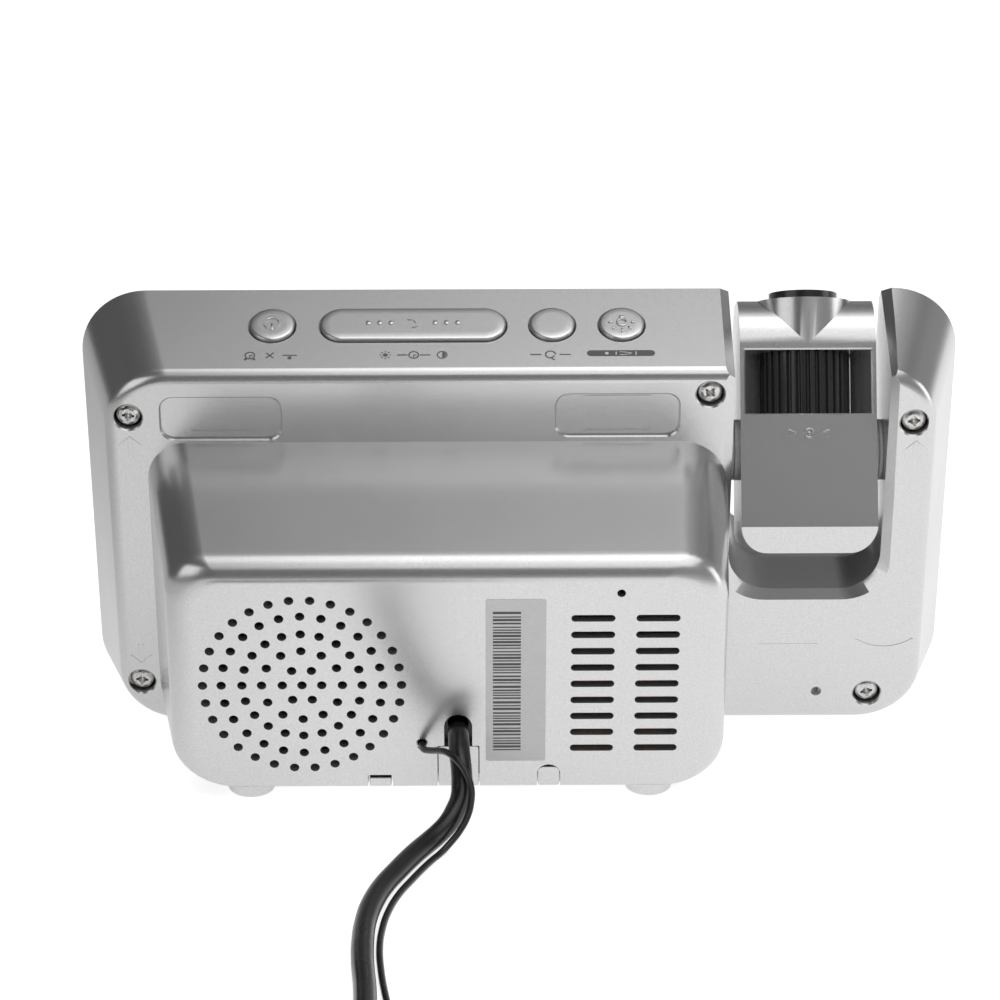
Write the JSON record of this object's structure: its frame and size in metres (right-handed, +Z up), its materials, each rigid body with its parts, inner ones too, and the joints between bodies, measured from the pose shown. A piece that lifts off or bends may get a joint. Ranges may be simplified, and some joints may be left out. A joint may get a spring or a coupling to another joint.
{
  "type": "projection alarm clock",
  "caption": "Leaning alarm clock with a display in front, a speaker box behind, top buttons, a free mains cord and aerial wire, and a tilting projector arm in a notch.",
  "frame": {"origin": "bottom centre of the clock's box, without its cord and aerial wire, on the surface it stands on", "axes": "+X to the clock's speaker side, which is on the right seen from the display; -Y the way the display looks; +Z up"},
  "size_m": [0.1926, 0.2984, 0.1009],
  "materials": {
    "silver_paint": "satin silver paint",
    "smoked_window": "clear smoked, polished",
    "label": "printed film",
    "black_plastic": "fine moulded",
    "red_diffuser": "diffusing",
    "circuit_board": "solder mask",
    "capacitor_sleeve": "shrunk sleeve",
    "speaker_steel": "plated",
    "speaker_paper": "pressed paper",
    "magnet": "sintered",
    "core_steel": "laminated",
    "winding": "taped copper winding",
    "cell_jacket": "printed jacket",
    "spring_steel": "nickel plated",
    "rubber": "moulded",
    "cord_jacket": "glossy soft jacket",
    "plug_metal": "nickel plated",
    "lens": "polished",
    "screen": "polarising film"
  },
  "bodies": {
    "case": {"rear_housing": "silver_paint", "front_frame": "silver_paint", "display_window": "smoked_window", "base_cover": "silver_paint", "label_plate": "label", "led_reflector": "black_plastic", "led_segments": "red_diffuser", "display_board": "circuit_board", "main_board": "circuit_board", "main_chips": "black_plastic", "board_capacitors": "capacitor_sleeve", "key_board": "circuit_board", "top_switches": "black_plastic", "front_key_board": "circuit_board", "front_switches": "black_plastic", "speaker_frame": "speaker_steel", "speaker_cone": "speaker_paper", "speaker_magnet": "magnet", "transformer_core": "core_steel", "transformer_coil": "winding", "battery_tray": "black_plastic", "backup_cells": "cell_jacket", "battery_contacts": "spring_steel", "case_screws": "spring_steel", "base_screws": "spring_steel", "board_screws": "spring_steel", "rear_feet": "silver_paint", "front_pads": "rubber", "pivot_bushes": "black_plastic", "cord_bush": "rubber", "power_cord": "cord_jacket", "power_cord_coil": "cord_jacket", "plug_body": "cord_jacket", "plug_blades": "plug_metal", "aerial_wire": "cord_jacket", "aerial_wire_coil": "cord_jacket"},
    "arm": {"arm_rear_shell": "silver_paint", "arm_front_shell": "silver_paint", "arm_screws": "spring_steel", "pivot_pins": "silver_paint", "lamp_board": "circuit_board", "lamp": "red_diffuser", "light_tube": "black_plastic", "condenser_lens": "lens", "digit_screen": "screen"},
    "focus_wheel": {"focus_wheel": "black_plastic"},
    "lens_cell": {"lens_cell": "black_plastic", "projection_lens": "lens"},
    "alarm_off_button": {"alarm_off_button": "silver_paint"},
    "snooze_button": {"snooze_button": "silver_paint"},
    "flip_button": {"flip_button": "silver_paint"},
    "projection_button": {"projection_button": "silver_paint"},
    "front_key_1": {"front_key_1": "silver_paint"},
    "front_key_2": {"front_key_2": "silver_paint"},
    "front_key_3": {"front_key_3": "silver_paint"},
    "front_key_4": {"front_key_4": "silver_paint"},
    "battery_door": {"battery_door": "silver_paint"}
  },
  "joints": [
    {"name": "arm_tilt", "type": "hinge", "parent": "case", "child": "arm", "pos_m": [-0.0617, -0.00792, 0.06575], "axis": [1, 0, 0], "range_deg": [-112, 68]},
    {"name": "focus_turn", "type": "hinge", "parent": "arm", "child": "focus_wheel", "pos_m": [-0.0617, -0.00792, 0.06575], "axis": [0, -0.3746, 0.9272], "range_deg": [-120, 120]},
    {"name": "lens_slide", "type": "slide", "parent": "arm", "child": "lens_cell", "axis": [0, -0.3746, 0.9272], "range_m": [-0.002, 0.002]},
    {"name": "alarm_off_button_press", "type": "slide", "parent": "case", "child": "alarm_off_button", "axis": [0, -0.4783, -0.8782], "range_m": [0, 0.0006], "stiffness_N_per_m": 600, "springref_m": -0.0003},
    {"name": "snooze_button_press", "type": "slide", "parent": "case", "child": "snooze_button", "axis": [0, -0.4783, -0.8782], "range_m": [0, 0.0006], "stiffness_N_per_m": 600, "springref_m": -0.0003},
    {"name": "flip_button_press", "type": "slide", "parent": "case", "child": "flip_button", "axis": [0, -0.4783, -0.8782], "range_m": [0, 0.0006], "stiffness_N_per_m": 600, "springref_m": -0.0003},
    {"name": "projection_button_press", "type": "slide", "parent": "case", "child": "projection_button", "axis": [0, -0.4783, -0.8782], "range_m": [0, 0.0006], "stiffness_N_per_m": 600, "springref_m": -0.0003},
    {"name": "front_key_1_press", "type": "slide", "parent": "case", "child": "front_key_1", "axis": [0, 0.9781, -0.2079], "range_m": [0, 0.0006], "stiffness_N_per_m": 600, "springref_m": -0.0003},
    {"name": "front_key_2_press", "type": "slide", "parent": "case", "child": "front_key_2", "axis": [0, 0.9781, -0.2079], "range_m": [0, 0.0006], "stiffness_N_per_m": 600, "springref_m": -0.0003},
    {"name": "front_key_3_press", "type": "slide", "parent": "case", "child": "front_key_3", "axis": [0, 0.9781, -0.2079], "range_m": [0, 0.0006], "stiffness_N_per_m": 600, "springref_m": -0.0003},
    {"name": "front_key_4_press", "type": "slide", "parent": "case", "child": "front_key_4", "axis": [0, 0.9781, -0.2079], "range_m": [0, 0.0006], "stiffness_N_per_m": 600, "springref_m": -0.0003},
    {"name": "battery_door_swing", "type": "hinge", "parent": "case", "child": "battery_door", "pos_m": [0.028, -0.00422, 0.00402], "axis": [1, 0, 0], "range_deg": [-85, 0]}
  ],
  "couplings": [
    {"joint": "focus_turn", "follows": "lens_slide", "rad_per_m": 1047.1}
  ]
}
